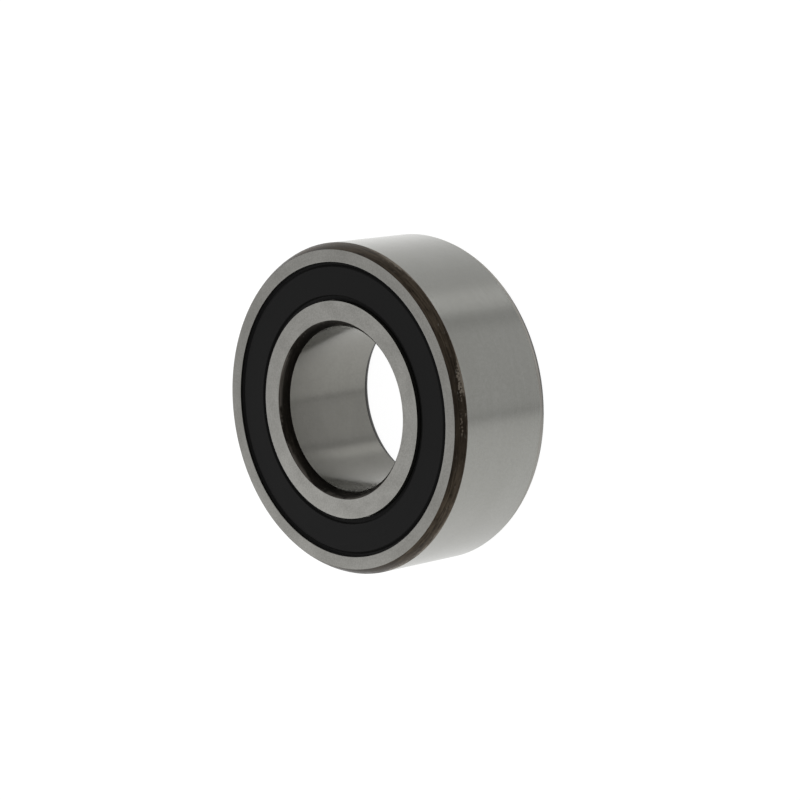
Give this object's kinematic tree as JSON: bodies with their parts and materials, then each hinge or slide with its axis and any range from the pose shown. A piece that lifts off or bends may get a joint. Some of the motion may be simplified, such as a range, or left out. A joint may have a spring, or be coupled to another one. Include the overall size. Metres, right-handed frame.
{
  "type": "double-row angular contact ball bearing",
  "caption": "Sealed double-row angular contact ball bearing: ground inner and outer ring, two rows of balls in moulded cages, and a black rubber seal at each side.",
  "frame": {"origin": "centre of the bearing: on its axis, half way between its two side faces", "axes": "+Z along the bearing's axis, from the rear side that it lies on to the front side; X passes through the first ball of the front row"},
  "size_m": [0.08, 0.08, 0.0302],
  "materials": {
    "ring_steel": "ground through-hardened bearing steel, chamfers left dark from heat treatment",
    "ball_steel": "lapped bearing steel, mirror bright",
    "seal_rubber": "moulded black nitrile rubber, matte",
    "stiffener_steel": "pressed mild steel sheet",
    "cage_polyamide": "moulded natural polyamide, glass filled"
  },
  "bodies": {
    "outer": {"outer_ring": "ring_steel", "front_seal": "seal_rubber", "front_seal_stiffener": "stiffener_steel", "rear_seal": "seal_rubber", "rear_seal_stiffener": "stiffener_steel"},
    "inner": {"inner_ring": "ring_steel"},
    "front_cage": {"front_cage": "cage_polyamide"},
    "front_ball_01": {"front_ball_01": "ball_steel"},
    "front_ball_02": {"front_ball_02": "ball_steel"},
    "front_ball_03": {"front_ball_03": "ball_steel"},
    "front_ball_04": {"front_ball_04": "ball_steel"},
    "front_ball_05": {"front_ball_05": "ball_steel"},
    "front_ball_06": {"front_ball_06": "ball_steel"},
    "front_ball_07": {"front_ball_07": "ball_steel"},
    "front_ball_08": {"front_ball_08": "ball_steel"},
    "front_ball_09": {"front_ball_09": "ball_steel"},
    "front_ball_10": {"front_ball_10": "ball_steel"},
    "rear_cage": {"rear_cage": "cage_polyamide"},
    "rear_ball_01": {"rear_ball_01": "ball_steel"},
    "rear_ball_02": {"rear_ball_02": "ball_steel"},
    "rear_ball_03": {"rear_ball_03": "ball_steel"},
    "rear_ball_04": {"rear_ball_04": "ball_steel"},
    "rear_ball_05": {"rear_ball_05": "ball_steel"},
    "rear_ball_06": {"rear_ball_06": "ball_steel"},
    "rear_ball_07": {"rear_ball_07": "ball_steel"},
    "rear_ball_08": {"rear_ball_08": "ball_steel"},
    "rear_ball_09": {"rear_ball_09": "ball_steel"},
    "rear_ball_10": {"rear_ball_10": "ball_steel"}
  },
  "joints": [
    {"name": "inner_ring_spin", "type": "hinge", "parent": "outer", "child": "inner", "pos_m": [0, 0, 0], "axis": [0, 0, 1], "continuous": true},
    {"name": "front_cage_spin", "type": "hinge", "parent": "outer", "child": "front_cage", "pos_m": [0, 0, 0.0061], "axis": [0, 0, 1], "continuous": true},
    {"name": "front_ball_01_spin", "type": "hinge", "parent": "front_cage", "child": "front_ball_01", "pos_m": [0.03, 0, 0.0061], "axis": [0.5, 0, 0.866], "continuous": true},
    {"name": "front_ball_02_spin", "type": "hinge", "parent": "front_cage", "child": "front_ball_02", "pos_m": [0.02427, 0.01763, 0.0061], "axis": [0.4045, 0.2939, 0.866], "continuous": true},
    {"name": "front_ball_03_spin", "type": "hinge", "parent": "front_cage", "child": "front_ball_03", "pos_m": [0.00927, 0.02853, 0.0061], "axis": [0.1545, 0.4755, 0.866], "continuous": true},
    {"name": "front_ball_04_spin", "type": "hinge", "parent": "front_cage", "child": "front_ball_04", "pos_m": [-0.00927, 0.02853, 0.0061], "axis": [-0.1545, 0.4755, 0.866], "continuous": true},
    {"name": "front_ball_05_spin", "type": "hinge", "parent": "front_cage", "child": "front_ball_05", "pos_m": [-0.02427, 0.01763, 0.0061], "axis": [-0.4045, 0.2939, 0.866], "continuous": true},
    {"name": "front_ball_06_spin", "type": "hinge", "parent": "front_cage", "child": "front_ball_06", "pos_m": [-0.03, 0, 0.0061], "axis": [-0.5, 0, 0.866], "continuous": true},
    {"name": "front_ball_07_spin", "type": "hinge", "parent": "front_cage", "child": "front_ball_07", "pos_m": [-0.02427, -0.01763, 0.0061], "axis": [-0.4045, -0.2939, 0.866], "continuous": true},
    {"name": "front_ball_08_spin", "type": "hinge", "parent": "front_cage", "child": "front_ball_08", "pos_m": [-0.00927, -0.02853, 0.0061], "axis": [-0.1545, -0.4755, 0.866], "continuous": true},
    {"name": "front_ball_09_spin", "type": "hinge", "parent": "front_cage", "child": "front_ball_09", "pos_m": [0.00927, -0.02853, 0.0061], "axis": [0.1545, -0.4755, 0.866], "continuous": true},
    {"name": "front_ball_10_spin", "type": "hinge", "parent": "front_cage", "child": "front_ball_10", "pos_m": [0.02427, -0.01763, 0.0061], "axis": [0.4045, -0.2939, 0.866], "continuous": true},
    {"name": "rear_cage_spin", "type": "hinge", "parent": "outer", "child": "rear_cage", "pos_m": [0, 0, -0.0061], "axis": [0, 0, 1], "continuous": true},
    {"name": "rear_ball_01_spin", "type": "hinge", "parent": "rear_cage", "child": "rear_ball_01", "pos_m": [0.02853, 0.00927, -0.0061], "axis": [-0.4755, -0.1545, 0.866], "continuous": true},
    {"name": "rear_ball_02_spin", "type": "hinge", "parent": "rear_cage", "child": "rear_ball_02", "pos_m": [0.01763, 0.02427, -0.0061], "axis": [-0.2939, -0.4045, 0.866], "continuous": true},
    {"name": "rear_ball_03_spin", "type": "hinge", "parent": "rear_cage", "child": "rear_ball_03", "pos_m": [0, 0.03, -0.0061], "axis": [0, -0.5, 0.866], "continuous": true},
    {"name": "rear_ball_04_spin", "type": "hinge", "parent": "rear_cage", "child": "rear_ball_04", "pos_m": [-0.01763, 0.02427, -0.0061], "axis": [0.2939, -0.4045, 0.866], "continuous": true},
    {"name": "rear_ball_05_spin", "type": "hinge", "parent": "rear_cage", "child": "rear_ball_05", "pos_m": [-0.02853, 0.00927, -0.0061], "axis": [0.4755, -0.1545, 0.866], "continuous": true},
    {"name": "rear_ball_06_spin", "type": "hinge", "parent": "rear_cage", "child": "rear_ball_06", "pos_m": [-0.02853, -0.00927, -0.0061], "axis": [0.4755, 0.1545, 0.866], "continuous": true},
    {"name": "rear_ball_07_spin", "type": "hinge", "parent": "rear_cage", "child": "rear_ball_07", "pos_m": [-0.01763, -0.02427, -0.0061], "axis": [0.2939, 0.4045, 0.866], "continuous": true},
    {"name": "rear_ball_08_spin", "type": "hinge", "parent": "rear_cage", "child": "rear_ball_08", "pos_m": [0, -0.03, -0.0061], "axis": [0, 0.5, 0.866], "continuous": true},
    {"name": "rear_ball_09_spin", "type": "hinge", "parent": "rear_cage", "child": "rear_ball_09", "pos_m": [0.01763, -0.02427, -0.0061], "axis": [-0.2939, 0.4045, 0.866], "continuous": true},
    {"name": "rear_ball_10_spin", "type": "hinge", "parent": "rear_cage", "child": "rear_ball_10", "pos_m": [0.02853, -0.00927, -0.0061], "axis": [-0.4755, 0.1545, 0.866], "continuous": true}
  ],
  "couplings": [
    {"joint": "front_cage_spin", "follows": "inner_ring_spin", "ratio": 0.41981},
    {"joint": "front_ball_01_spin", "follows": "inner_ring_spin", "ratio": -2.6303},
    {"joint": "front_ball_02_spin", "follows": "inner_ring_spin", "ratio": -2.6303},
    {"joint": "front_ball_03_spin", "follows": "inner_ring_spin", "ratio": -2.6303},
    {"joint": "front_ball_04_spin", "follows": "inner_ring_spin", "ratio": -2.6303},
    {"joint": "front_ball_05_spin", "follows": "inner_ring_spin", "ratio": -2.6303},
    {"joint": "front_ball_06_spin", "follows": "inner_ring_spin", "ratio": -2.6303},
    {"joint": "front_ball_07_spin", "follows": "inner_ring_spin", "ratio": -2.6303},
    {"joint": "front_ball_08_spin", "follows": "inner_ring_spin", "ratio": -2.6303},
    {"joint": "front_ball_09_spin", "follows": "inner_ring_spin", "ratio": -2.6303},
    {"joint": "front_ball_10_spin", "follows": "inner_ring_spin", "ratio": -2.6303},
    {"joint": "rear_cage_spin", "follows": "inner_ring_spin", "ratio": 0.41981},
    {"joint": "rear_ball_01_spin", "follows": "inner_ring_spin", "ratio": -2.6303},
    {"joint": "rear_ball_02_spin", "follows": "inner_ring_spin", "ratio": -2.6303},
    {"joint": "rear_ball_03_spin", "follows": "inner_ring_spin", "ratio": -2.6303},
    {"joint": "rear_ball_04_spin", "follows": "inner_ring_spin", "ratio": -2.6303},
    {"joint": "rear_ball_05_spin", "follows": "inner_ring_spin", "ratio": -2.6303},
    {"joint": "rear_ball_06_spin", "follows": "inner_ring_spin", "ratio": -2.6303},
    {"joint": "rear_ball_07_spin", "follows": "inner_ring_spin", "ratio": -2.6303},
    {"joint": "rear_ball_08_spin", "follows": "inner_ring_spin", "ratio": -2.6303},
    {"joint": "rear_ball_09_spin", "follows": "inner_ring_spin", "ratio": -2.6303},
    {"joint": "rear_ball_10_spin", "follows": "inner_ring_spin", "ratio": -2.6303}
  ]
}
